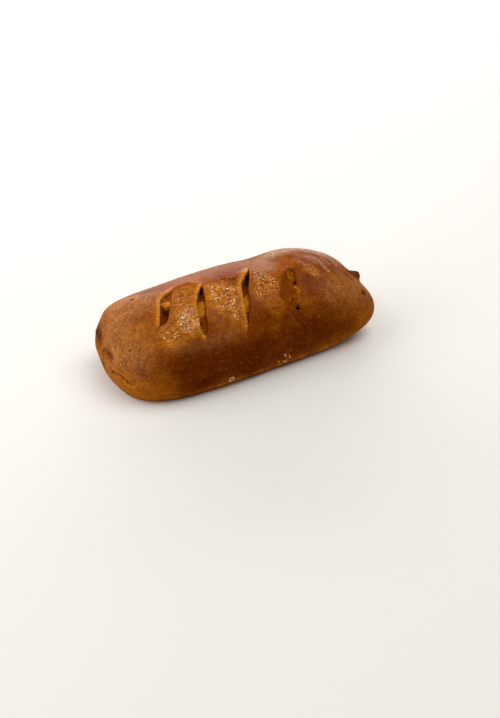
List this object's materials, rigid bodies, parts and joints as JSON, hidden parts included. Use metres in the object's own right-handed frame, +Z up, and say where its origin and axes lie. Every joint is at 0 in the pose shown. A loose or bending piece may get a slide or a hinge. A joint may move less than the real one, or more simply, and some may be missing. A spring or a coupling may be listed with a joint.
{
  "type": "sausage brioche",
  "caption": "Plump glazed brioche roll baked round a sausage, with slanting cuts across the top that show the sausage and its cheese filling, on a flat base.",
  "frame": {"origin": "middle of the roll's flat base, under the centre of its outline", "axes": "+X along the roll, towards the end with the larger pinched tip; +Y towards the back, away from the side that the cuts run down; +Z up"},
  "size_m": [0.1906, 0.0872, 0.0565],
  "materials": {
    "baked_crust": "egg-washed brown crust, satin with blistered patches",
    "sausage_skin": "smooth moist dark skin",
    "melted_cheese": "soft lumpy baked cheese"
  },
  "bodies": {
    "root": {"brioche": "baked_crust", "sausage": "sausage_skin", "cheese_filling": "melted_cheese"}
  },
  "joints": []
}
